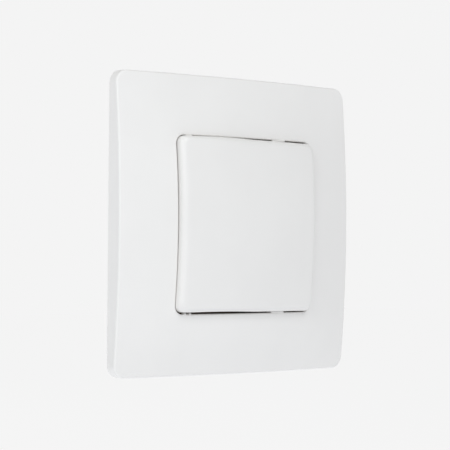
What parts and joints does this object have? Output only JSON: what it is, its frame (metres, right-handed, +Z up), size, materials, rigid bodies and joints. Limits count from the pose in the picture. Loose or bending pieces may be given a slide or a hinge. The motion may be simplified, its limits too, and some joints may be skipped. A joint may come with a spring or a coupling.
{
  "type": "wireless light switch",
  "caption": "Flat square surface-mounted wireless light switch: pillow-shaped plate, large crowned rocker, screw-on base, coin cell and radio board inside.",
  "frame": {"origin": "centre of the back face, on the wall plane", "axes": "+X to the right and +Z up as seen from the room, +Y into the wall"},
  "size_m": [0.082, 0.013, 0.082],
  "materials": {
    "plate_white": "satin moulded",
    "rocker_white": "satin moulded",
    "carrier_dark": "fine matt moulded",
    "base_grey": "matt moulded",
    "pad_foam": "foam with a pale liner",
    "screw_steel": "zinc plated",
    "board_green": "solder resist",
    "cell_steel": "rolled and polished",
    "contact_nickel": "nickel plated",
    "spring_steel": "drawn wire",
    "tappet_natural": "natural polished",
    "switch_black": "matt",
    "button_grey": "matt moulded",
    "module_black": "solder resist",
    "chip_black": "moulded",
    "can_tin": "tinned sheet",
    "antenna_ceramic": "fired",
    "crystal_can": "drawn can",
    "capacitor_ceramic": "fired",
    "resistor_black": "glazed film",
    "led_resin": "clear resin"
  },
  "bodies": {
    "housing": {"trim_plate": "plate_white", "mounting_base": "base_grey", "adhesive_pads": "pad_foam", "carrier": "carrier_dark", "housing_screws": "screw_steel", "circuit_board": "board_green", "coin_cell": "cell_steel", "positive_contact": "contact_nickel", "negative_contact": "contact_nickel", "upper_return_spring": "spring_steel", "lower_return_spring": "spring_steel", "upper_tact_switch": "switch_black", "lower_tact_switch": "switch_black", "learn_switch": "switch_black", "radio_module": "module_black", "radio_chip": "chip_black", "radio_shield": "can_tin", "chip_antenna": "antenna_ceramic", "crystal": "crystal_can", "capacitors": "capacitor_ceramic", "resistors": "resistor_black", "status_led": "led_resin"},
    "rocker": {"rocker": "rocker_white"},
    "upper_tappet": {"upper_tappet": "tappet_natural"},
    "lower_tappet": {"lower_tappet": "tappet_natural"},
    "learn_button": {"learn_button": "button_grey"}
  },
  "joints": [
    {"name": "rocker_tilt", "type": "hinge", "parent": "housing", "child": "rocker", "pos_m": [0, -0.0064, 0], "axis": [-1, 0, 0], "range_deg": [-2, 2], "stiffness_Nm_per_rad": 0.4},
    {"name": "upper_tappet_slide", "type": "slide", "parent": "housing", "child": "upper_tappet", "axis": [0, 1, 0], "range_m": [-0.00055, 0.00055], "deforming": ["upper_return_spring"]},
    {"name": "lower_tappet_slide", "type": "slide", "parent": "housing", "child": "lower_tappet", "axis": [0, 1, 0], "range_m": [-0.00055, 0.00055], "deforming": ["lower_return_spring"]},
    {"name": "learn_button_press", "type": "slide", "parent": "housing", "child": "learn_button", "axis": [0, 1, 0], "range_m": [0, 0.0003], "stiffness_N_per_m": 500}
  ],
  "couplings": [
    {"joint": "upper_tappet_slide", "follows": "rocker_tilt", "m_per_rad": 0.015},
    {"joint": "lower_tappet_slide", "follows": "rocker_tilt", "m_per_rad": -0.015}
  ]
}
